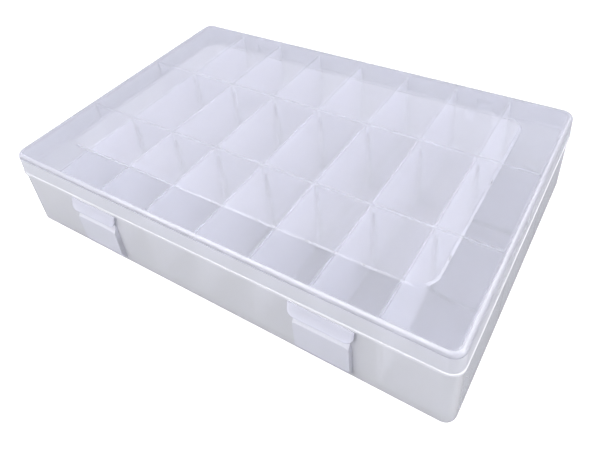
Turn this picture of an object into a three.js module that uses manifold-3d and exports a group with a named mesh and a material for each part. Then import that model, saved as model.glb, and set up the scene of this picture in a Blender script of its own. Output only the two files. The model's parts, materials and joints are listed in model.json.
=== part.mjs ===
// Parts sorting tray: a flat box with 24 compartments under one hinged lid.
// The base has two fixed long walls, and 21 short dividers stand in grooves between them.
// The lid turns on two snap hinges at the back, and two latch tabs hang from its front edge.
// Millimetres, +Z up. The origin is the middle of the base's underside, and -Y is the latch side.
import * as THREE from 'three';
import { mergeVertices } from 'three/addons/utils/BufferGeometryUtils.js';
import Module from 'manifold-3d';

const wasm = await Module();
wasm.setup();

// Closed box, measured over the lower edge of the lid's skirt
const LENGTH = 195;
const DEPTH = 130;
const HEIGHT = 37.5;
const CORNER_RADIUS = 5;
const GAP = 0.3; // between pieces that touch on the real box

// Lid
const SKIRT_BOTTOM = 26.8;
const LID_SKIN = 1.1;
const LID_DRAFT = 0.5; // how far the skirt leans in from its lower edge to the top
const LID_EDGE_RADIUS = 2;
const PANEL = { length: 163, depth: 97, radius: 8 };
const PANEL_RISE = 0.5;
const RIM_TOP = HEIGHT - PANEL_RISE;
const CEILING = RIM_TOP - LID_SKIN;

// Base
const FLOOR = 1.6;
const FOOT_INSET = 0.9; // the base is narrower at the foot than under the skirt
const FOOT_RADIUS = 1;
const SHOULDER_INSET = 0.6;
const SHOULDER = SKIRT_BOTTOM - 2 * GAP;
const NECK_INSET = LID_SKIN + LID_DRAFT + GAP;
const NECK_TOP = CEILING - GAP;
const NECK_CHAMFER = 0.3;
const CAVITY_INSET = 2.9;

// Compartments
const COLUMN_PITCH = 23.7;
const COLUMN_DIVIDERS = 7;
const ROW_PITCH = 41.8;
const ROW_WALL = 1.3;
const ROW_WALL_TOP = NECK_TOP - 0.4;
const DIVIDER = 1.1;
const DIVIDER_TOP = NECK_TOP - 0.7;
const DIVIDER_CHAMFER = 0.5;
const RIB = { width: 0.8, reach: 0.8, top: 31 };
const EMBED = 0.4; // how deep an added feature starts inside the wall it grows from

// Hinges
const HINGE_X = 60;
const HINGE_AXIS = { y: DEPTH / 2 + 2.6, z: SKIRT_BOTTOM };
const KNUCKLE_RADIUS = 2.3;
const ROD_RADIUS = 1.1;
const BORE_RADIUS = 1.45;
const ARM_WIDTH = 7;
const EAR_WIDTH = 4;
const EAR_CENTRE = ARM_WIDTH / 2 + 0.4 + EAR_WIDTH / 2;

// Latches
const LATCH_X = 52;
const TAB_WIDTH = 24.4;
const TAB_CORNER = 3;
const BLOCK_WIDTH = 21;
const BEAD_WIDTH = 18;

const CORNER_STEPS = 5;
const EDGE_STEPS = 3;
const ROUND_STEPS = 16;

// A rounded rectangle, counterclockwise, with every side moved in by inset.
function roundedOutline(size, inset) {
  const radius = size.radius - inset;
  const points = [];
  for (let corner = 0; corner < 4; corner += 1) {
    const sideX = corner === 0 || corner === 3 ? 1 : -1;
    const sideY = corner < 2 ? 1 : -1;
    for (let step = 0; step <= CORNER_STEPS; step += 1) {
      const angle = ((corner + step / CORNER_STEPS) * Math.PI) / 2;
      const x = sideX * (size.length / 2 - size.radius) + radius * Math.cos(angle);
      const y = sideY * (size.depth / 2 - size.radius) + radius * Math.sin(angle);
      points.push(new THREE.Vector2(x, y));
    }
  }
  return points;
}

// A closed solid through rounded rectangles stacked from the lowest level to the highest.
function stack(size, levels) {
  const rings = levels.map((level) => roundedOutline(size, level.inset));
  const count = rings[0].length;
  const positions = [];
  rings.forEach((ring, level) => {
    ring.forEach((point) => positions.push(point.x, point.y, levels[level].z));
  });
  const index = [];
  for (let level = 0; level + 1 < rings.length; level += 1) {
    for (let i = 0; i < count; i += 1) {
      const low = level * count + i;
      const lowNext = level * count + ((i + 1) % count);
      index.push(low, lowNext, lowNext + count, low, lowNext + count, low + count);
    }
  }
  const top = (rings.length - 1) * count;
  for (let i = 1; i + 1 < count; i += 1) {
    index.push(0, i + 1, i, top, top + i, top + i + 1);
  }
  const geometry = new THREE.BufferGeometry();
  geometry.setAttribute('position', new THREE.Float32BufferAttribute(positions, 3));
  geometry.setIndex(index);
  return geometry;
}

// The levels of a quarter round between a wall and a flat face above it (side 1) or below it (-1).
function roundedEdge(flat, wallInset, radius, side) {
  const levels = [];
  for (let step = 0; step <= EDGE_STEPS; step += 1) {
    const angle = ((step / EDGE_STEPS) * Math.PI) / 2;
    levels.push({
      z: flat - side * radius * (1 - Math.sin(angle)),
      inset: wallInset + radius * (1 - Math.cos(angle)),
    });
  }
  return side > 0 ? levels : levels.reverse();
}

// A prism along X whose section is a list of [y, z] corners.
function prismAlongX(corners, centreX, width) {
  const section = new THREE.Shape(corners.map(([y, z]) => new THREE.Vector2(y, z)));
  const geometry = new THREE.ExtrudeGeometry(section, { depth: width, bevelEnabled: false });
  const turn = new THREE.Matrix4().makeBasis(
    new THREE.Vector3(0, 1, 0),
    new THREE.Vector3(0, 0, 1),
    new THREE.Vector3(1, 0, 0),
  );
  return geometry.applyMatrix4(turn).translate(centreX - width / 2, 0, 0);
}

// A box given by its lowest and highest corner.
function block(low, high) {
  const size = high.map((value, axis) => value - low[axis]);
  const middle = high.map((value, axis) => (value + low[axis]) / 2);
  return new THREE.BoxGeometry(...size).translate(...middle);
}

// A cylinder on the hinge axis.
function onHingeAxis(radius, centreX, width) {
  const geometry = new THREE.CylinderGeometry(radius, radius, width, ROUND_STEPS);
  return geometry.rotateZ(Math.PI / 2).translate(centreX, HINGE_AXIS.y, HINGE_AXIS.z);
}

function solid(geometry) {
  const bare = geometry.clone();
  bare.deleteAttribute('normal');
  bare.deleteAttribute('uv');
  const merged = mergeVertices(bare, 1e-4);
  const vertProperties = new Float32Array(merged.attributes.position.array);
  const triVerts = new Uint32Array(merged.index.array);
  return new wasm.Manifold(new wasm.Mesh({ numProp: 3, vertProperties, triVerts }));
}

function join(body, geometries) {
  return geometries.reduce((sum, geometry) => sum.add(solid(geometry)), body);
}

function cut(body, geometries) {
  return geometries.reduce((rest, geometry) => rest.subtract(solid(geometry)), body);
}

function piece(name, body, material) {
  const { vertProperties, triVerts } = body.getMesh();
  const geometry = new THREE.BufferGeometry();
  geometry.setAttribute('position', new THREE.Float32BufferAttribute(vertProperties, 3));
  geometry.setIndex(Array.from(triVerts));
  geometry.computeVertexNormals();
  const mesh = new THREE.Mesh(geometry, material);
  mesh.name = name;
  return mesh;
}

const BOX_SIZE = { length: LENGTH, depth: DEPTH, radius: CORNER_RADIUS };
const CAVITY_HALF_LENGTH = LENGTH / 2 - CAVITY_INSET;
const CAVITY_HALF_DEPTH = DEPTH / 2 - CAVITY_INSET;

// The clear depth of each row of compartments, from the latch side to the hinge side.
const ROWS = [
  { name: 'front', low: -CAVITY_HALF_DEPTH, high: -(ROW_PITCH + ROW_WALL) / 2 },
  { name: 'middle', low: -(ROW_PITCH - ROW_WALL) / 2, high: (ROW_PITCH - ROW_WALL) / 2 },
  { name: 'rear', low: (ROW_PITCH + ROW_WALL) / 2, high: CAVITY_HALF_DEPTH },
];
const COLUMNS = Array.from(
  { length: COLUMN_DIVIDERS },
  (_, column) => (column - (COLUMN_DIVIDERS - 1) / 2) * COLUMN_PITCH,
);

function rowWalls() {
  return [-1, 1].map((side) => {
    const middle = (side * ROW_PITCH) / 2;
    return block(
      [-CAVITY_HALF_LENGTH - EMBED, middle - ROW_WALL / 2, FLOOR - EMBED],
      [CAVITY_HALF_LENGTH + EMBED, middle + ROW_WALL / 2, ROW_WALL_TOP],
    );
  });
}

// A pair of ribs holds each end of each divider.
function grooveRibs() {
  const ribs = [];
  const offset = DIVIDER / 2 + GAP + RIB.width / 2;
  for (const row of ROWS) {
    for (const column of COLUMNS) {
      for (const x of [column - offset, column + offset]) {
        const left = x - RIB.width / 2;
        const right = x + RIB.width / 2;
        ribs.push(
          block([left, row.low - EMBED, FLOOR - EMBED], [right, row.low + RIB.reach, RIB.top]),
          block([left, row.high - RIB.reach, FLOOR - EMBED], [right, row.high + EMBED, RIB.top]),
        );
      }
    }
  }
  return ribs;
}

// The block below a latch tab, with a slope at its top and a long chamfer at its foot.
function latchBlock(centreX) {
  const wall = -DEPTH / 2 + SHOULDER_INSET;
  const inside = wall + 1.6;
  const face = wall - 1.9;
  const foot = FOOT_RADIUS;
  const top = SKIRT_BOTTOM - 5.8;
  return prismAlongX(
    [
      [inside, foot],
      [wall + 0.6, foot],
      [face + 0.3, foot + 3.6],
      [face, foot + 4.8],
      [face, top - 2.5],
      [wall - 0.2, top],
      [inside, top],
    ].reverse(),
    centreX,
    BLOCK_WIDTH,
  );
}

// The bead that the tab's hook snaps under.
function catchBead(centreX) {
  const wall = -DEPTH / 2 + SHOULDER_INSET;
  const reach = 0.4;
  const low = SKIRT_BOTTOM - 3.5;
  return prismAlongX(
    [
      [wall + 1, low],
      [wall, low],
      [wall - reach, low + 0.4],
      [wall - reach, low + 0.8],
      [wall, low + 1.8],
      [wall + 1, low + 1.8],
    ].reverse(),
    centreX,
    BEAD_WIDTH,
  );
}

// The web that carries a hinge ear out from the back wall to the hinge axis.
function earWeb(centreX) {
  const wall = DEPTH / 2 - SHOULDER_INSET - 1;
  const { y, z } = HINGE_AXIS;
  return prismAlongX(
    [
      [wall, z - 7],
      [wall + 1.6, z - 7],
      [y + KNUCKLE_RADIUS * 0.9, z - 1],
      [y, z - 0.4],
      [wall, z - 0.4],
    ],
    centreX,
    EAR_WIDTH,
  );
}

function makeBase() {
  const shell = solid(
    stack(BOX_SIZE, [
      ...roundedEdge(0, FOOT_INSET, FOOT_RADIUS, -1),
      { z: SHOULDER, inset: SHOULDER_INSET },
      { z: SHOULDER + GAP, inset: NECK_INSET },
      { z: NECK_TOP - NECK_CHAMFER, inset: NECK_INSET },
      { z: NECK_TOP, inset: NECK_INSET + NECK_CHAMFER },
    ]),
  );
  const cavity = stack(BOX_SIZE, [
    { z: FLOOR, inset: CAVITY_INSET },
    { z: HEIGHT, inset: CAVITY_INSET },
  ]);
  const latches = [-LATCH_X, LATCH_X].flatMap((x) => [latchBlock(x), catchBead(x)]);
  const earCentres = [-HINGE_X, HINGE_X].flatMap((x) => [x - EAR_CENTRE, x + EAR_CENTRE]);
  const ears = earCentres.flatMap((x) => [earWeb(x), onHingeAxis(KNUCKLE_RADIUS, x, EAR_WIDTH)]);
  const bores = earCentres.map((x) => onHingeAxis(BORE_RADIUS, x, EAR_WIDTH + 1));
  const tray = cut(shell, [cavity]);
  return cut(join(tray, [...rowWalls(), ...grooveRibs(), ...latches, ...ears]), bores);
}

// An arm that carries the hinge rod out from the back of the skirt.
function hingeArm(centreX) {
  const { y, z } = HINGE_AXIS;
  const skirt = DEPTH / 2 - 0.9;
  return prismAlongX(
    [
      [skirt, z],
      [y, z - 0.5],
      [y + KNUCKLE_RADIUS * 0.7, z + KNUCKLE_RADIUS * 0.7],
      [skirt + 1.3, z + 4.6],
      [skirt, z + 4.6],
    ],
    centreX,
    ARM_WIDTH,
  );
}

function makeLid() {
  const shell = solid(
    stack(BOX_SIZE, [
      { z: SKIRT_BOTTOM, inset: 0 },
      ...roundedEdge(RIM_TOP, LID_DRAFT, LID_EDGE_RADIUS, 1),
    ]),
  );
  const panel = stack(PANEL, [
    { z: RIM_TOP - EMBED, inset: 0 },
    { z: RIM_TOP, inset: 0 },
    { z: HEIGHT, inset: 0.5 },
  ]);
  const cavity = stack(BOX_SIZE, [
    { z: SKIRT_BOTTOM - 1, inset: LID_SKIN },
    { z: CEILING, inset: LID_SKIN + LID_DRAFT },
  ]);
  const panelRecess = stack(PANEL, [
    { z: CEILING - EMBED, inset: 1 },
    { z: CEILING, inset: 1 },
    { z: CEILING + PANEL_RISE, inset: 1.5 },
  ]);
  const rodWidth = 2 * (EAR_CENTRE + EAR_WIDTH / 2);
  const hinges = [-HINGE_X, HINGE_X].flatMap((x) => [
    hingeArm(x),
    onHingeAxis(KNUCKLE_RADIUS, x, ARM_WIDTH),
    onHingeAxis(ROD_RADIUS, x, rodWidth),
  ]);
  return join(cut(join(shell, [panel]), [cavity, panelRecess]), hinges);
}

function makeDivider(row, column) {
  const low = row.low + GAP;
  const high = row.high - GAP;
  const foot = FLOOR + GAP;
  return solid(
    prismAlongX(
      [
        [low, foot],
        [high, foot],
        [high, DIVIDER_TOP - DIVIDER_CHAMFER],
        [high - DIVIDER_CHAMFER, DIVIDER_TOP],
        [low + DIVIDER_CHAMFER, DIVIDER_TOP],
        [low, DIVIDER_TOP - DIVIDER_CHAMFER],
      ],
      column,
      DIVIDER,
    ),
  );
}

// A tab that flares outwards from the skirt's lower edge, with a hook on its inner face.
function makeLatch(centreX) {
  const front = -DEPTH / 2;
  const top = SKIRT_BOTTOM - GAP;
  const tab = prismAlongX(
    [
      [front + 0.3, top],
      [front - 0.05, top - 1.2],
      [front - 0.2, top - 2.6],
      [front - 0.6, top - 3.2],
      [front - 0.1, top - 3.7],
      [front - 0.1, top - 4.1],
      [front - 0.9, top - 4.4],
      [front - 1.2, top - 5.2],
      [front - 1.9, top - 5.3],
      [front - 2.2, top - 5],
      [front - 1.6, top - 3.2],
      [front - 1, top - 1.7],
      [front - 0.4, top - 0.6],
      [front + 0.05, top],
    ].reverse(),
    centreX,
    TAB_WIDTH,
  );
  const half = TAB_WIDTH / 2;
  const low = top - 6;
  const outline = new THREE.Shape();
  outline.moveTo(-half, top + 1);
  outline.lineTo(-half, low + TAB_CORNER);
  outline.absarc(-half + TAB_CORNER, low + TAB_CORNER, TAB_CORNER, Math.PI, 1.5 * Math.PI);
  outline.absarc(half - TAB_CORNER, low + TAB_CORNER, TAB_CORNER, 1.5 * Math.PI, 2 * Math.PI);
  outline.lineTo(half, top + 1);
  const plan = new THREE.ExtrudeGeometry(outline, {
    depth: 6,
    bevelEnabled: false,
    curveSegments: CORNER_STEPS,
  });
  plan.rotateX(Math.PI / 2).translate(centreX, front + 2, 0);
  return solid(tab).intersect(solid(plan));
}

const clearPlastic = new THREE.MeshStandardMaterial({
  name: 'clear_polypropylene',
  color: 0xd3d6e4,
  roughness: 0.25,
  metalness: 0,
  transparent: true,
  opacity: 0.45,
});
const frostedPlastic = new THREE.MeshStandardMaterial({
  name: 'frosted_polypropylene',
  color: 0xdcdeee,
  roughness: 0.45,
  metalness: 0,
  transparent: true,
  opacity: 0.6,
});

const box = new THREE.Group();
box.add(piece('base_tray', makeBase(), clearPlastic));
box.add(piece('lid', makeLid(), clearPlastic));
for (const row of ROWS) {
  COLUMNS.forEach((column, number) => {
    const name = `divider_${row.name}_${number + 1}`;
    box.add(piece(name, makeDivider(row, column), frostedPlastic));
  });
}
box.add(piece('latch_left', makeLatch(-LATCH_X), clearPlastic));
box.add(piece('latch_right', makeLatch(LATCH_X), clearPlastic));

export default box;
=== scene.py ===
# Looks of the parts sorting tray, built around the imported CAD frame.
# Shapes are worked out in millimetres and turned into metres when a piece is finished.
# A profile is a list of corners, each with two coordinates and the radius that rounds it.
import json
import math

import bmesh
import bpy
from mathutils import Euler, Matrix, Vector


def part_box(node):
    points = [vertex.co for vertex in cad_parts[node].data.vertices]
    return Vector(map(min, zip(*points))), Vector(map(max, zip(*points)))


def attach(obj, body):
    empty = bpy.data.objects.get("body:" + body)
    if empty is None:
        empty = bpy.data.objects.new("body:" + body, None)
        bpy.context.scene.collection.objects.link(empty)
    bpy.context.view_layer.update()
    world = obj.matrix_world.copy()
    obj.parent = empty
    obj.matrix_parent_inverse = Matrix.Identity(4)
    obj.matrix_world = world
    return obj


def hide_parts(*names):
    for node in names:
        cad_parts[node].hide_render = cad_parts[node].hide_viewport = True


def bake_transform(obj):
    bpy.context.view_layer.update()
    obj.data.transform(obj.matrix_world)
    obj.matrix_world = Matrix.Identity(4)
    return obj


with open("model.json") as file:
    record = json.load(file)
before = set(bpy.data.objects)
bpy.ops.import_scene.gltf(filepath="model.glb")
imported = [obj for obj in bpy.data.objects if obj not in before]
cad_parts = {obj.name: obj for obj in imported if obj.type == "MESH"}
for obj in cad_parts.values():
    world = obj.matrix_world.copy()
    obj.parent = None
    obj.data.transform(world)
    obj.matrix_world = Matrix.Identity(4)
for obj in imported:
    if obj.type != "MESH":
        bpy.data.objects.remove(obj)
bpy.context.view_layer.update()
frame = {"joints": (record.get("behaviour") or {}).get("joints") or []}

MM = 0.001

# Driving sizes, read from the frame
joint_at = {joint["name"]: Vector(joint["pos_m"]) / MM for joint in frame["joints"]}
lid_low, lid_high = (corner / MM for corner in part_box("lid"))
LENGTH = lid_high.x - lid_low.x
DEPTH = -2 * lid_low.y
HEIGHT = lid_high.z
SKIRT_BOTTOM = joint_at["lid_hinge"].z
HINGE_Y = joint_at["lid_hinge"].y
LATCH_X = joint_at["latch_right_flex"].x

# Lid
CORNER_RADIUS = 5
LID_SKIN = 1.1
LID_DRAFT = 0.5
LID_EDGE_RADIUS = 2
LIP = 0.25  # the skirt's lower edge stands proud by this much
LIP_HEIGHT = 1.5
PANEL_LENGTH = 163
PANEL_DEPTH = 97
PANEL_RADIUS = 8
PANEL_RISE = 0.5
PANEL_SLOPE = 0.8
PANEL_MARGIN = 1
RIM_TOP = HEIGHT - PANEL_RISE
CEILING = RIM_TOP - LID_SKIN

# Base tray
GAP = 0.3
FLOOR = 1.6
UNDERSIDE_RECESS = 0.5
FOOT_INSET = 0.9
SHOULDER_INSET = 0.6
SHOULDER = SKIRT_BOTTOM - 2 * GAP
NECK_INSET = LID_SKIN + LID_DRAFT + GAP
NECK_TOP = CEILING - GAP
CAVITY_INSET = 2.9
WALL_DEPTH = 2.5  # faces nearer to the outline than this are the outside of a wall
ROW_PITCH = 41.8
ROW_WALL = 1.3
ROW_WALL_FLARE = 0.15
ROW_WALL_TOP = NECK_TOP - 0.4
RIB_WIDTH = 0.8
RIB_REACH = 0.6
RIB_NOSE = 0.7  # width of the rib's nose as a share of the rib
RIB_TOP = 31
RIB_SLOPE = 2
EMBED = 0.4  # how deep an added feature starts inside the wall it grows from

# Dividers
DIVIDER_EDGE = 0.3
DIVIDER_CORNER = 0.8

# Hinges and latches
HINGE_X = 60
KNUCKLE_RADIUS = 2.3
ROD_RADIUS = 1.1
BORE_RADIUS = 1.45
ARM_WIDTH = 7
ARM_HEIGHT = 4.6
EAR_WIDTH = 4
EAR_HEIGHT = 7
EAR_CENTRE = ARM_WIDTH / 2 + 0.4 + EAR_WIDTH / 2
TAB_WIDTH = 24.4
TAB_CORNER = 3
TAB_DROP = 5.3
TAB_THICKNESS = 0.9
TAB_EDGE = 0.45  # radius of the tab's free edges
TAB_SET_BACK = 0.35  # how far behind the front of the skirt the tab's reach is measured from
TAB_START = 0.3  # reach of the tab's middle surface at its top
TAB_LEAN = 1.75  # reach of the tab's middle surface at its foot
TAB_CURVE = 1.15
TAB_GAP = 0.05
LIVING_HINGE = 0.35  # thickness of the living hinge
LIVING_HINGE_DROP = 1.4
BLOCK_WIDTH = 21
BLOCK_REACH = 1.9
BLOCK_DROP = 5.8
BLOCK_EDGE = 1.1
BEAD_WIDTH = 18
BEAD_REACH = 0.4
BEAD_HEIGHT = 1.8
BEAD_DROP = 3.5

CORNER_STEPS = 10
ARC_STEPS = 5
ROUND_STEPS = 32
TAB_COLUMNS = 48
TAB_LEVELS = 24
SHARP_ANGLE = math.radians(50)
TAB_EDGEWISE = 0.35  # how much the tab's strips crowd towards its sides, from 0 to 1
TAB_DOWNWARD = 1.5  # how much its points crowd towards its foot
THINNEST = 0.02
TIGHTEST = 0.4  # least corner radius of a ring
SLIVER = 0.002

# For telling faces apart by their place and by the height of their normal
NEAR = 0.1
LEVEL = 0.99

ROWS = ("front", "middle", "rear")
COLUMNS = range(1, 8)

# Plastic
REFRACTION = 1.49
MOTTLING = 45
GRAIN = 180
GRAIN_DEPTH = 0.0004
RELIEF = 0.03
UNEVENNESS = 0.55
TINT_RANGE = (0.35, 0.65)  # the part of the mottling over which the tints change
GLOSS_RANGE = (0.3, 0.7)  # the part over which the gloss changes

# Camera and studio
CAMERA_PLACE = Vector((118.96, -159.24, 184.68)) * MM
CAMERA_TURN = (53.388, 4.357, 32.359)
CAMERA_LENS = 36.036
CAMERA_SHIFT = (-0.0011, -0.1633)
CAMERA_NEAR = 0.005
TABLE_SIZE = 3
TABLE_DROP = 0.0001
TABLE_GREY = (0.2, 0.203, 0.22)
TABLE_ROUGHNESS = 0.9
TABLE_SHINE = 0.1
TABLE_SEEN = 0.5
TABLE_GLOW = 0.68
STUDIO_TINT = (0.91, 0.918, 1)
WHITE = (1, 1, 1)
HORIZON = 0.5
OVERHEAD = 1.02
OVERHEAD_FROM = 0.5  # height in the sky, from 0 to 1, where the light reaches full strength
LIGHT_BOUNCES = 24


# ---------------------------------------------------------------- mesh helpers


def rounded_path(corners):
    """Points along an open profile, with an arc at each inner corner."""
    points = [Vector(corners[0][:2])]
    for before, corner, after in zip(corners, corners[1:], corners[2:]):
        points.extend(corner_arc(Vector(before[:2]), Vector(corner[:2]), Vector(after[:2]), corner[2]))
    points.append(Vector(corners[-1][:2]))
    return points


def rounded_loop(corners):
    """Points along a closed profile, with an arc at every corner."""
    points = []
    for i, corner in enumerate(corners):
        before = Vector(corners[i - 1][:2])
        after = Vector(corners[(i + 1) % len(corners)][:2])
        points.extend(corner_arc(before, Vector(corner[:2]), after, corner[2]))
    return points


def corner_arc(before, corner, after, radius):
    """The arc that rounds one corner, or the bare corner where its radius is 0."""
    if radius == 0:
        return [corner]
    back = (before - corner).normalized()
    ahead = (after - corner).normalized()
    half = back.angle(ahead) / 2
    centre = corner + (back + ahead).normalized() * radius / math.sin(half)
    start = corner + back * radius / math.tan(half) - centre
    end = corner + ahead * radius / math.tan(half) - centre
    sweep = start.angle_signed(end)
    arc = []
    for step in range(ARC_STEPS + 1):
        turn = Matrix.Rotation(-sweep * step / ARC_STEPS, 2)
        arc.append(centre + turn @ start)
    return arc


def ring(length, depth, radius, inset, z):
    """A level rounded rectangle, counterclockwise, with every side moved in by inset."""
    corner_radius = max(radius - inset, TIGHTEST)
    points = []
    for corner in range(4):
        side_x = 1 if corner in (0, 3) else -1
        side_y = 1 if corner < 2 else -1
        centre_x = side_x * (length / 2 - inset - corner_radius)
        centre_y = side_y * (depth / 2 - inset - corner_radius)
        for step in range(CORNER_STEPS + 1):
            angle = (corner + step / CORNER_STEPS) * math.pi / 2
            x = centre_x + corner_radius * math.cos(angle)
            y = centre_y + corner_radius * math.sin(angle)
            points.append(Vector((x, y, z)))
    return points


def box_ring(inset, z):
    """A ring that follows the sides of the closed box."""
    return ring(LENGTH, DEPTH, CORNER_RADIUS, inset, z)


def panel_ring(inset, z):
    """A ring that follows the outline of the raised panel."""
    return ring(PANEL_LENGTH, PANEL_DEPTH, PANEL_RADIUS, inset, z)


def loft(rings):
    """A closed mesh through rings that have equally many points, with a flat face at each end."""
    bm = bmesh.new()
    loops = [[bm.verts.new(point) for point in points] for points in rings]
    for low, high in zip(loops, loops[1:]):
        for i in range(len(low)):
            j = (i + 1) % len(low)
            bm.faces.new((low[i], low[j], high[j], high[i]))
    bm.faces.new(list(reversed(loops[0])))
    bm.faces.new(loops[-1])
    bmesh.ops.recalc_face_normals(bm, faces=bm.faces)
    return bm


def prism_along_x(outline, centre_x, width, edge):
    """A prism along X over an outline of (y, z) points, with its end faces' edges broken by edge."""
    middle = sum(outline, Vector((0, 0))) / len(outline)
    extent = max((point - middle).length for point in outline)
    rings = []
    for x, shrink in (
        (-width / 2, edge),
        (-width / 2 + edge, 0),
        (width / 2 - edge, 0),
        (width / 2, edge),
    ):
        scale = 1 - shrink / extent
        scaled = [middle + (point - middle) * scale for point in outline]
        rings.append([Vector((centre_x + x, point.x, point.y)) for point in scaled])
    return loft(rings)


def circle(centre_y, centre_z, radius):
    """A closed outline of (y, z) points."""
    points = []
    for step in range(ROUND_STEPS):
        angle = 2 * math.pi * step / ROUND_STEPS
        y = centre_y + radius * math.cos(angle)
        z = centre_z + radius * math.sin(angle)
        points.append(Vector((y, z)))
    return points


def to_object(name, bm):
    """An object in the scene that takes over a mesh under construction."""
    mesh = bpy.data.meshes.new(name)
    bm.to_mesh(mesh)
    bm.free()
    piece = bpy.data.objects.new(name, mesh)
    bpy.context.scene.collection.objects.link(piece)
    return piece


def gather(name, meshes):
    """One object that holds several closed meshes that don't touch."""
    bm = bmesh.new()
    for part in meshes:
        copy = bpy.data.meshes.new("part")
        part.to_mesh(copy)
        part.free()
        bm.from_mesh(copy)
        bpy.data.meshes.remove(copy)
    return to_object(name, bm)


def prisms(name, outline, centres, width, edge):
    """One object with a prism along X over the same outline at each centre."""
    return gather(name, [prism_along_x(outline, x, width, edge) for x in centres])


def apply_boolean(piece, tool, operation):
    """Joins the tool to a piece or cuts it out, and removes the tool."""
    modifier = piece.modifiers.new("boolean", "BOOLEAN")
    modifier.object = tool
    modifier.operation = operation
    modifier.solver = "EXACT"
    depsgraph = bpy.context.evaluated_depsgraph_get()
    mesh = bpy.data.meshes.new_from_object(piece.evaluated_get(depsgraph))
    piece.modifiers.clear()
    piece.data = mesh
    bpy.data.objects.remove(tool)


def clean(piece):
    """Removes the slivers that a boolean can leave."""
    bm = bmesh.new()
    bm.from_mesh(piece.data)
    bmesh.ops.remove_doubles(bm, verts=bm.verts, dist=SLIVER)
    bmesh.ops.dissolve_degenerate(bm, edges=bm.edges, dist=SLIVER)
    bm.to_mesh(piece.data)
    bm.free()


def finish_piece(piece, nodes, materials, material_of=None):
    """Paints a piece, smooths its rounded edges, and lets it stand for its CAD nodes, in metres."""
    piece.data.materials.clear()
    for material in materials:
        piece.data.materials.append(material)
    if material_of:
        for face in piece.data.polygons:
            face.material_index = materials.index(material_of(face))
    piece.data.transform(Matrix.Scale(MM, 4))
    piece.data.shade_smooth()
    piece.data.set_sharp_from_angle(angle=SHARP_ANGLE)
    normals = piece.modifiers.new("flat_faces_stay_flat", "WEIGHTED_NORMAL")
    normals.keep_sharp = True
    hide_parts(*nodes)


# ---------------------------------------------------------------- materials


def node(tree, kind, **values):
    """A shader node with its settings or input values."""
    made = tree.nodes.new(kind)
    for key, value in values.items():
        if hasattr(made, key):
            setattr(made, key, value)
        else:
            made.inputs[key.replace("_", " ")].default_value = value
    return made


def noise(tree, scale, detail):
    """Mottling of the given scale, fixed to the object."""
    place = node(tree, "ShaderNodeTexCoord")
    made = node(tree, "ShaderNodeTexNoise", Scale=scale, Detail=detail, Roughness=UNEVENNESS)
    tree.links.new(place.outputs["Object"], made.inputs["Vector"])
    return made.outputs["Fac"]


def spread(tree, source, low, high):
    """Turns mottling into a number between low and high."""
    made = node(tree, "ShaderNodeMapRange", To_Min=low, To_Max=high)
    made.inputs["From Min"].default_value, made.inputs["From Max"].default_value = GLOSS_RANGE
    tree.links.new(source, made.inputs["Value"])
    return made.outputs["Result"]


def milky_plastic(name, tints, clarity, gloss, relief=RELIEF, mottling=MOTTLING, grain=GRAIN):
    """Translucent polypropylene: two close tints, a hazy gloss that varies, and a fine surface grain."""
    material = bpy.data.materials.new(name)
    material.use_nodes = True
    tree = material.node_tree
    shader = tree.nodes["Principled BSDF"]
    shader.inputs["IOR"].default_value = REFRACTION
    shader.inputs["Transmission Weight"].default_value = clarity

    blend = node(tree, "ShaderNodeValToRGB")
    for stop, tint, position in zip(blend.color_ramp.elements, tints, TINT_RANGE):
        stop.color = (*tint, 1)
        stop.position = position
    tree.links.new(noise(tree, mottling, 3), blend.inputs["Fac"])
    tree.links.new(blend.outputs["Color"], shader.inputs["Base Color"])

    tree.links.new(spread(tree, noise(tree, mottling * 2.5, 4), *gloss), shader.inputs["Roughness"])

    bump = node(tree, "ShaderNodeBump", Strength=relief, Distance=GRAIN_DEPTH)
    tree.links.new(noise(tree, grain, 5), bump.inputs["Height"])
    tree.links.new(bump.outputs["Normal"], shader.inputs["Normal"])
    return material


LID = milky_plastic(
    "clear_lid_plastic",
    tints=((0.91, 0.917, 0.985), (0.92, 0.927, 0.99)),
    clarity=0.84,
    gloss=(0.1, 0.15),
    relief=0.012,
)
PANEL = milky_plastic(
    "satin_lid_panel",
    tints=((0.914, 0.917, 0.99), (0.924, 0.927, 0.994)),
    clarity=0.8,
    gloss=(0.17, 0.22),
    relief=0.01,
)
TRAY = milky_plastic(
    "clear_tray_plastic",
    tints=((0.9, 0.903, 0.95), (0.912, 0.915, 0.96)),
    clarity=0.88,
    gloss=(0.12, 0.18),
)
# A lighter, milkier copy of the tray plastic on the outsides of the walls: painted light.
OUTER_WALL = milky_plastic(
    "outer_wall_painted_light",
    tints=((0.965, 0.967, 0.982), (0.975, 0.977, 0.99)),
    clarity=0.575,
    gloss=(0.14, 0.2),
)
# A lighter, milkier copy of the lid plastic on the outside of the skirt: painted light.
SKIRT = milky_plastic(
    "skirt_painted_light",
    tints=((0.93, 0.933, 0.965), (0.94, 0.943, 0.975)),
    clarity=0.55,
    gloss=(0.14, 0.2),
)
# A milkier copy of the plastic that paints highlights on the lid's rim, the row-wall tops and the ribs,
# and, being clearer than the frosted plastic, paints shade on the divider tops.
EDGE = milky_plastic(
    "edge_painted_light_and_shade",
    tints=((0.865, 0.868, 0.925), (0.875, 0.878, 0.935)),
    clarity=0.72,
    gloss=(0.2, 0.25),
    relief=0.015,
)
# A lighter, milkier copy of the lid plastic on the skirt's lip: a painted highlight line along it.
LIP_PLASTIC = milky_plastic(
    "lip_painted_highlight",
    tints=((0.96, 0.96, 0.98), (0.97, 0.97, 0.985)),
    clarity=0.53,
    gloss=(0.12, 0.18),
)
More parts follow.
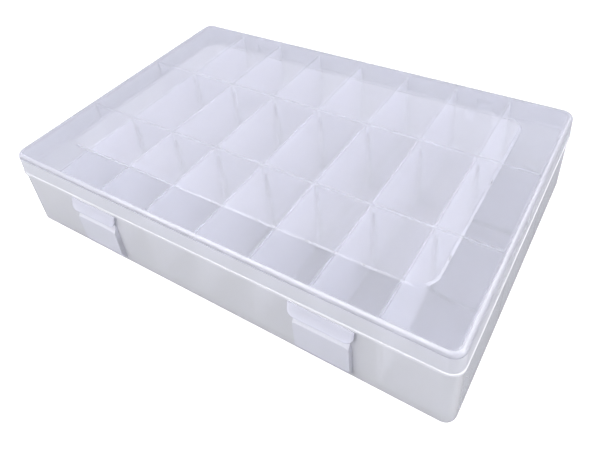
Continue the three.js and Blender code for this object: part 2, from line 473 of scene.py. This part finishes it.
# A clearer, lighter copy of the tray plastic on the row walls' faces, so that they show no dark lines:
# painted light.
INNER_WALL = milky_plastic(
    "row_wall_painted_light",
    tints=((0.93, 0.933, 0.965), (0.94, 0.943, 0.972)),
    clarity=0.96,
    gloss=(0.05, 0.09),
    relief=0.01,
)
# A darker, satin copy of the tray plastic on the cell floors: painted shade.
CELL_FLOOR = milky_plastic(
    "satin_cell_floor_painted_shade",
    tints=((0.855, 0.863, 0.975), (0.87, 0.878, 0.985)),
    clarity=0.78,
    gloss=(0.3, 0.36),
)
FROSTED = milky_plastic(
    "frosted_divider_plastic",
    tints=((0.91, 0.912, 0.99), (0.925, 0.927, 0.997)),
    clarity=0.12,
    gloss=(0.3, 0.4),
    mottling=70,
    grain=600,
)
# A lighter, milkier copy of the tray plastic on the latch blocks, so that their sides show no dark
# shade: painted light.
LATCH = milky_plastic(
    "latch_block_painted_light",
    tints=((0.885, 0.888, 0.955), (0.9, 0.903, 0.965)),
    clarity=0.5,
    gloss=(0.15, 0.22),
)
# A darker copy of the plastic on the latch tabs, which face the lamps: painted shade.
TAB_PLASTIC = milky_plastic(
    "tab_painted_shade",
    tints=((0.84, 0.843, 0.915), (0.855, 0.858, 0.925)),
    clarity=0.62,
    gloss=(0.15, 0.22),
)


# ---------------------------------------------------------------- base tray


def tray_shell():
    """Foot rim, outer wall, shoulder, neck, lip, inner wall and floor in one section."""
    section = rounded_path(
        [
            (6.5, UNDERSIDE_RECESS, 0),
            (5.2, UNDERSIDE_RECESS, 0.4),
            (4.6, 0, 0.3),
            (FOOT_INSET, 0, 1),
            (SHOULDER_INSET, SHOULDER, 0.2),
            (NECK_INSET, SHOULDER + GAP, 0.15),
            (NECK_INSET, NECK_TOP, 0.35),
            (CAVITY_INSET, NECK_TOP, 0.35),
            (CAVITY_INSET, FLOOR, 0.9),
            (CAVITY_INSET + 1.3, FLOOR, 0),
        ]
    )
    return to_object("tray_shell", loft([box_ring(point.x, point.y) for point in section]))


def row_walls():
    """The two long walls that make three rows, a little thicker at the foot."""
    width = LENGTH - 2 * CAVITY_INSET + 2 * EMBED
    walls = []
    for side in (-1, 1):
        y = side * ROW_PITCH / 2
        foot = ROW_WALL / 2 + ROW_WALL_FLARE
        outline = rounded_loop(
            [
                (y - foot, FLOOR - EMBED, 0),
                (y + foot, FLOOR - EMBED, 0),
                (y + ROW_WALL / 2, ROW_WALL_TOP, 0.4),
                (y - ROW_WALL / 2, ROW_WALL_TOP, 0.4),
            ]
        )
        walls.append(prism_along_x(outline, 0, width, 0))
    return gather("row_walls", walls)


def groove_rib(x, y, inward):
    """One upright rib that grows from the wall at y, with a round nose and a sloped top."""
    half = RIB_WIDTH / 2
    outline = rounded_loop(
        [
            (-half - 0.1, -EMBED, 0),
            (half + 0.1, -EMBED, 0),
            (half, 0.1, 0),
            (half * RIB_NOSE, RIB_REACH, 0.25),
            (-half * RIB_NOSE, RIB_REACH, 0.25),
            (-half, 0.1, 0),
        ]
    )
    rings = []
    for z, reach in ((FLOOR - EMBED, 1), (RIB_TOP - RIB_SLOPE, 1), (RIB_TOP, 0.1)):
        points = []
        for point in outline:
            depth = point.y * reach if point.y > 0 else point.y
            points.append(Vector((x + point.x, y + inward * depth, z)))
        rings.append(points)
    return loft(rings)


def groove_ribs():
    """A pair of ribs at each end of each divider."""
    ribs = []
    for row in ROWS:
        for column in COLUMNS:
            low, high = (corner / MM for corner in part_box(f"divider_{row}_{column}"))
            for x in (low.x - GAP - RIB_WIDTH / 2, high.x + GAP + RIB_WIDTH / 2):
                ribs.append(groove_rib(x, low.y - GAP, 1))
                ribs.append(groove_rib(x, high.y + GAP, -1))
    return gather("groove_ribs", ribs)


def latch_blocks():
    """The block and the catch bead below each latch."""
    wall = -DEPTH / 2 + SHOULDER_INSET
    inside = wall + 1.6
    face = wall - BLOCK_REACH
    top = SKIRT_BOTTOM - BLOCK_DROP
    block = rounded_loop(
        [
            (inside, 1, 0),
            (wall + 0.6, 1, 0.3),
            (face + 0.3, 4.6, 0.8),
            (face, 5.8, 0.5),
            (face, top - 2.5, 0.8),
            (wall - 0.2, top, 0.15),
            (inside, top, 0),
        ]
    )
    low = SKIRT_BOTTOM - BEAD_DROP
    bead = rounded_loop(
        [
            (wall + 1, low, 0),
            (wall, low, 0),
            (wall - BEAD_REACH, low + 0.4, 0.15),
            (wall - BEAD_REACH, low + 0.8, 0.15),
            (wall, low + BEAD_HEIGHT, 0),
            (wall + 1, low + BEAD_HEIGHT, 0),
        ]
    )
    parts = []
    for x in (-LATCH_X, LATCH_X):
        parts.append(prism_along_x(block, x, BLOCK_WIDTH, BLOCK_EDGE))
        parts.append(prism_along_x(bead, x, BEAD_WIDTH, 0.1))
    return gather("latch_blocks", parts)


def hinge_ears():
    """Two ears for each hinge: a web out from the back wall and an eye round the rod."""
    wall = DEPTH / 2 - SHOULDER_INSET - 1
    z = SKIRT_BOTTOM
    web = rounded_loop(
        [
            (wall, z - EAR_HEIGHT, 0),
            (wall + 1.6, z - EAR_HEIGHT, 0.6),
            (HINGE_Y + KNUCKLE_RADIUS * 0.9, z - 1, 0.6),
            (HINGE_Y, z - 0.4, 0.2),
            (wall, z - 0.4, 0),
        ]
    )
    centres = [hinge + ear for hinge in (-HINGE_X, HINGE_X) for ear in (-EAR_CENTRE, EAR_CENTRE)]
    eye = circle(HINGE_Y, z, KNUCKLE_RADIUS)
    bore = circle(HINGE_Y, z, BORE_RADIUS)
    ears = prisms("ears", web, centres, EAR_WIDTH, 0.2)
    apply_boolean(ears, prisms("eyes", eye, centres, EAR_WIDTH, 0.3), "UNION")
    apply_boolean(ears, prisms("bores", bore, centres, EAR_WIDTH + 1, 0), "DIFFERENCE")
    return ears


def tray_material(face):
    """Painted shade on the satin cell floors, painted light on the row walls, the latch blocks and the
    outsides of the walls, and painted highlights on the row-wall tops and ribs.
    """
    x, y, z = face.center
    from_row_wall = abs(abs(y) - ROW_PITCH / 2) - ROW_WALL / 2
    on_row_wall = from_row_wall < NEAR
    on_rib = NEAR <= from_row_wall < RIB_REACH + NEAR and z > FLOOR + 2 * NEAR
    on_top = z > ROW_WALL_TOP - 1 and face.normal.z > 0
    on_front = y < -DEPTH / 2 + SHOULDER_INSET + FOOT_INSET
    at_latch = abs(abs(x) - LATCH_X) < BLOCK_WIDTH / 2 + NEAR
    outermost = abs(x) > LENGTH / 2 - WALL_DEPTH or abs(y) > DEPTH / 2 - WALL_DEPTH
    if face.normal.z > LEVEL and z < FLOOR + 2 * NEAR:
        return CELL_FLOOR
    if on_row_wall and abs(face.normal.y) > 0.9:
        return INNER_WALL
    if on_rib or (on_row_wall and on_top):
        return EDGE
    if on_front and at_latch:
        return LATCH
    if outermost and abs(face.normal.z) < 0.5 and z < SHOULDER:
        return OUTER_WALL
    return TRAY


def make_tray():
    """The tray and everything that is moulded on it."""
    tray = tray_shell()
    for feature in (row_walls, groove_ribs, latch_blocks, hinge_ears):
        apply_boolean(tray, feature(), "UNION")
    clean(tray)
    materials = [TRAY, CELL_FLOOR, OUTER_WALL, LATCH, INNER_WALL, EDGE]
    finish_piece(tray, ["base_tray"], materials, tray_material)
    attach(tray, "base")


# ---------------------------------------------------------------- dividers


def divider_material(face):
    """Frosted, apart from the upper edge, where a clearer copy of the plastic paints shade on the top.
    """
    return EDGE if face.normal.z > 0.3 else FROSTED


def make_divider(row, column):
    """A thin plate with all its edges rounded."""
    name = f"divider_{row}_{column}"
    low, high = (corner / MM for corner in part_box(name))
    middle = (low + high) / 2
    size = high - low
    rings = []
    for side in (-1, 1):
        for step in range(ARC_STEPS + 1):
            angle = math.pi / 2 * step / ARC_STEPS
            turn = angle if side > 0 else math.pi / 2 - angle
            inset = DIVIDER_EDGE * (1 - math.cos(turn))
            x = middle.x + side * (size.x / 2 - DIVIDER_EDGE + DIVIDER_EDGE * math.sin(turn))
            outline = ring(size.y, size.z, DIVIDER_CORNER, inset, 0)
            rings.append([Vector((x, middle.y + point.x, middle.z + point.y)) for point in outline])
    plate = to_object(f"divider_plate_{row}_{column}", loft(rings))
    finish_piece(plate, [name], [FROSTED, EDGE], divider_material)
    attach(plate, "base")


# ---------------------------------------------------------------- lid


def lid_shell():
    """Panel underside, ceiling, inner skirt, lip, outer skirt, rim and raised panel in one section."""
    inner = rounded_path(
        [
            (PANEL_MARGIN + 0.5, CEILING + PANEL_RISE, 0),
            (PANEL_MARGIN, CEILING, 0),
        ]
    )
    wall = rounded_path(
        [
            (LID_SKIN + LID_DRAFT + 2, CEILING, 0),
            (LID_SKIN + LID_DRAFT, CEILING, 0.5),
            (LID_SKIN, SKIRT_BOTTOM, 0.2),
            (0, SKIRT_BOTTOM, 0.3),
            (0, SKIRT_BOTTOM + 1.1, 0.2),
            (LIP, SKIRT_BOTTOM + LIP_HEIGHT, 0.2),
            (LID_DRAFT, RIM_TOP, LID_EDGE_RADIUS),
            (LID_DRAFT + LID_EDGE_RADIUS + 1, RIM_TOP, 0),
        ]
    )
    step = rounded_path(
        [
            (-0.6, RIM_TOP, 0),
            (0, RIM_TOP, 0.2),
            (PANEL_SLOPE, HEIGHT, 0.5),
            (2, HEIGHT, 0),
        ]
    )
    rings = [panel_ring(point.x, point.y) for point in inner]
    rings += [box_ring(point.x, point.y) for point in wall]
    rings += [panel_ring(point.x, point.y) for point in step]
    return to_object("lid_shell", loft(rings))


def hinge_arms():
    """An arm with a knuckle at each hinge, carrying the rod that turns in the ears."""
    z = SKIRT_BOTTOM
    skirt = DEPTH / 2 - 0.9
    arm = rounded_loop(
        [
            (skirt, z, 0),
            (HINGE_Y, z - 0.5, 0.3),
            (HINGE_Y + KNUCKLE_RADIUS * 0.7, z + KNUCKLE_RADIUS * 0.7, 0.6),
            (skirt + 1.3, z + ARM_HEIGHT, 1.2),
            (skirt, z + ARM_HEIGHT, 0),
        ]
    )
    knuckle = circle(HINGE_Y, z, KNUCKLE_RADIUS)
    rod = circle(HINGE_Y, z, ROD_RADIUS)
    rod_width = 2 * (EAR_CENTRE + EAR_WIDTH / 2)
    sides = (-HINGE_X, HINGE_X)
    arms = prisms("arms", arm, sides, ARM_WIDTH, 0.3)
    apply_boolean(arms, prisms("knuckles", knuckle, sides, ARM_WIDTH, 0.3), "UNION")
    apply_boolean(arms, prisms("rods", rod, sides, rod_width, 0.25), "UNION")
    return arms


def inset_at(point):
    """How far a point lies inside the outline of the closed box, seen from above."""
    over_x = abs(point.x) - (LENGTH / 2 - CORNER_RADIUS)
    over_y = abs(point.y) - (DEPTH / 2 - CORNER_RADIUS)
    if min(over_x, over_y) > 0:
        return CORNER_RADIUS - math.hypot(over_x, over_y)
    return CORNER_RADIUS - max(over_x, over_y)


def lid_material(face):
    """A satin panel, painted light on the skirt, and painted highlights on the rim and lip."""
    x, y, z = face.center
    tilt = face.normal.z
    inset = inset_at(face.center)
    in_panel = max(abs(x) - PANEL_LENGTH / 2, abs(y) - PANEL_DEPTH / 2) < -PANEL_MARGIN
    in_rim = inset < LID_DRAFT + LID_EDGE_RADIUS and z > RIM_TOP - LID_EDGE_RADIUS
    on_skirt = inset < LID_SKIN - NEAR
    on_lip = SKIRT_BOTTOM + 2 * NEAR < z < SKIRT_BOTTOM + LIP_HEIGHT + NEAR
    at_latch = y < 0 and abs(abs(x) - LATCH_X) < TAB_WIDTH / 2
    if in_panel and abs(tilt) > LEVEL and z > CEILING + NEAR:
        return PANEL
    if in_rim and 0.1 < tilt < 0.97:
        return EDGE
    if on_skirt and on_lip and not at_latch:
        return LIP_PLASTIC
    if on_skirt:
        return SKIRT
    return LID


def make_lid():
    """The lid with its hinge arms."""
    lid = lid_shell()
    apply_boolean(lid, hinge_arms(), "UNION")
    clean(lid)
    materials = [LID, PANEL, SKIRT, EDGE, LIP_PLASTIC]
    finish_piece(lid, ["lid"], materials, lid_material)
    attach(lid, "lid")


# ---------------------------------------------------------------- latches


def tab_drop_at(across):
    """How far the tab hangs at a distance from its middle, less at its rounded lower corners."""
    over = abs(across) - (TAB_WIDTH / 2 - TAB_CORNER)
    if over <= 0:
        return TAB_DROP
    return TAB_DROP - TAB_CORNER + math.sqrt(max(TAB_CORNER**2 - over**2, 0))


def tab_face(drop):
    """How far the tab's middle surface reaches out at a distance below the skirt."""
    share = drop / TAB_DROP
    return TAB_START * (1 - share) + TAB_LEAN * share**TAB_CURVE


def tab_thickness(drop, across, lowest):
    """Thin at the living hinge, full below it, and rounded off at the free edges."""
    full = LIVING_HINGE + (TAB_THICKNESS - LIVING_HINGE) * min(drop / LIVING_HINGE_DROP, 1)
    edge = min(lowest - drop, TAB_WIDTH / 2 - abs(across), TAB_EDGE)
    return full * math.sqrt(max(1 - (1 - edge / TAB_EDGE) ** 2, THINNEST))


def tab_sheet(bm, centre_x, side):
    """One face of the tab as strips of points, closer together towards its free edges."""
    strips = []
    for i in range(TAB_COLUMNS + 1):
        turn = math.pi * (i / TAB_COLUMNS - 0.5)
        even = 2 * i / TAB_COLUMNS - 1
        across = TAB_WIDTH / 2 * (TAB_EDGEWISE * math.sin(turn) + (1 - TAB_EDGEWISE) * even)
        lowest = tab_drop_at(across)
        strip = []
        for j in range(TAB_LEVELS + 1):
            drop = lowest * (1 - (1 - j / TAB_LEVELS) ** TAB_DOWNWARD)
            half = tab_thickness(drop, across, lowest) / 2
            y = -DEPTH / 2 + TAB_SET_BACK - tab_face(drop) + side * half
            strip.append(bm.verts.new((centre_x + across, y, SKIRT_BOTTOM - TAB_GAP - drop)))
        strips.append(strip)
    return strips


def tab_mesh(centre_x):
    """The tab as two sheets, joined all round."""
    bm = bmesh.new()
    outer, inner = (tab_sheet(bm, centre_x, side) for side in (-1, 1))
    for i in range(TAB_COLUMNS):
        for j in range(TAB_LEVELS):
            bm.faces.new((outer[i][j], outer[i + 1][j], outer[i + 1][j + 1], outer[i][j + 1]))
            bm.faces.new((inner[i][j], inner[i][j + 1], inner[i + 1][j + 1], inner[i + 1][j]))
        for j in (0, TAB_LEVELS):
            bm.faces.new((outer[i][j], outer[i + 1][j], inner[i + 1][j], inner[i][j]))
    for j in range(TAB_LEVELS):
        for i in (0, TAB_COLUMNS):
            bm.faces.new((outer[i][j], outer[i][j + 1], inner[i][j + 1], inner[i][j]))
    bmesh.ops.recalc_face_normals(bm, faces=bm.faces)
    return bm


def tab_hook(centre_x):
    """The hook on the tab's inner face that snaps under the catch bead."""
    front = -DEPTH / 2
    top = SKIRT_BOTTOM - GAP
    outline = rounded_loop(
        [
            (front - 0.75, top - 2.6, 0),
            (front - 0.1, top - 3.7, 0.15),
            (front - 0.1, top - 4.1, 0.15),
            (front - 1.3, top - 4.7, 0),
        ]
    )
    return prism_along_x(outline, centre_x, BEAD_WIDTH - 1, 0.1)


def make_latch(side, centre_x):
    """A tab hanging below the skirt, thin at its living hinge at the top, with the hook on its inner
    face.
    """
    tab = to_object(f"latch_tab_{side}", tab_mesh(centre_x))
    apply_boolean(tab, to_object("hook", tab_hook(centre_x)), "UNION")
    # The tab gets its darker copy of the plastic: painted shade.
    finish_piece(tab, [f"latch_{side}"], [TAB_PLASTIC])
    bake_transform(tab)


# ---------------------------------------------------------------- studio


def make_camera():
    """The photograph's point of view."""
    camera = bpy.data.objects.new("camera", bpy.data.cameras.new("camera"))
    bpy.context.scene.collection.objects.link(camera)
    bpy.context.scene.camera = camera
    camera.location = CAMERA_PLACE
    camera.rotation_euler = Euler([math.radians(angle) for angle in CAMERA_TURN])
    camera.data.lens = CAMERA_LENS
    camera.data.shift_x, camera.data.shift_y = CAMERA_SHIFT
    camera.data.clip_start = CAMERA_NEAR


def mix_for_direct_sight(tree, indirect, direct, output):
    """Shows one shader where the camera sees the surface itself, and another where it gives light."""
    path = node(tree, "ShaderNodeLightPath")
    mix = node(tree, "ShaderNodeMixShader")
    tree.links.new(path.outputs["Is Camera Ray"], mix.inputs[0])
    tree.links.new(indirect.outputs[0], mix.inputs[1])
    tree.links.new(direct.outputs[0], mix.inputs[2])
    tree.links.new(mix.outputs[0], output.inputs["Surface"])


def table_material():
    """White where it is seen directly, and a soft grey where it lights the plastic."""
    material = bpy.data.materials.new("white_table")
    material.use_nodes = True
    tree = material.node_tree
    grey = tree.nodes["Principled BSDF"]
    grey.inputs["Base Color"].default_value = (*TABLE_GREY, 1)
    white = node(tree, "ShaderNodeBsdfPrincipled")
    white.inputs["Base Color"].default_value = (TABLE_SEEN, TABLE_SEEN, TABLE_SEEN, 1)
    white.inputs["Emission Color"].default_value = (*WHITE, 1)
    white.inputs["Emission Strength"].default_value = TABLE_GLOW
    for shader in (grey, white):
        shader.inputs["Roughness"].default_value = TABLE_ROUGHNESS
        shader.inputs["Specular IOR Level"].default_value = TABLE_SHINE
    mix_for_direct_sight(tree, grey, white, tree.nodes["Material Output"])
    return material


def make_floor():
    """A wide table just under the object."""
    bm = bmesh.new()
    bmesh.ops.create_grid(bm, x_segments=4, y_segments=4, size=TABLE_SIZE)
    floor = to_object("floor", bm)
    floor.location.z = -TABLE_DROP
    floor.data.materials.append(table_material())


def make_world():
    """A soft sky, dimmer towards the horizon, behind a plain white backdrop."""
    world = bpy.data.worlds.new("studio")
    world.use_nodes = True
    bpy.context.scene.world = world
    tree = world.node_tree
    sky = tree.nodes["Background"]
    sky.inputs["Color"].default_value = (*STUDIO_TINT, 1)
    direction = node(tree, "ShaderNodeTexCoord")
    parts = node(tree, "ShaderNodeSeparateXYZ")
    rise = node(tree, "ShaderNodeMapRange")
    rise.inputs["From Max"].default_value = OVERHEAD_FROM
    rise.inputs["To Min"].default_value = HORIZON
    rise.inputs["To Max"].default_value = OVERHEAD
    tree.links.new(direction.outputs["Generated"], parts.inputs["Vector"])
    tree.links.new(parts.outputs["Z"], rise.inputs["Value"])
    tree.links.new(rise.outputs["Result"], sky.inputs["Strength"])
    backdrop = node(tree, "ShaderNodeBackground", Color=(*WHITE, 1))
    mix_for_direct_sight(tree, sky, backdrop, tree.nodes["World Output"])


def area_light(name, place, size, power):
    """A square lamp that faces the object, in metres and watts."""
    light = bpy.data.lights.new(name, "AREA")
    light.energy = power
    light.size = size
    lamp = bpy.data.objects.new(name, light)
    bpy.context.scene.collection.objects.link(lamp)
    lamp.location = place
    lamp.rotation_euler = (-Vector(place)).to_track_quat("-Z", "Y").to_euler()


def make_studio():
    """Soft light from above, a key lamp at the back right, and fill on the front and right sides."""
    scene = bpy.context.scene
    scene.view_settings.view_transform = "Standard"
    scene.cycles.max_bounces = LIGHT_BOUNCES
    scene.cycles.transmission_bounces = LIGHT_BOUNCES
    make_world()
    make_floor()
    area_light("key", (0.5, 0.28, 0.75), 0.8, 6.8)
    area_light("edge", (-0.25, -0.62, 0.6), 0.8, 9)
    area_light("side", (0.75, 0.05, 0.22), 0.5, 3)


make_tray()
for row_name in ROWS:
    for number in COLUMNS:
        make_divider(row_name, number)
make_lid()
make_latch("left", -LATCH_X)
make_latch("right", LATCH_X)
make_camera()
make_studio()
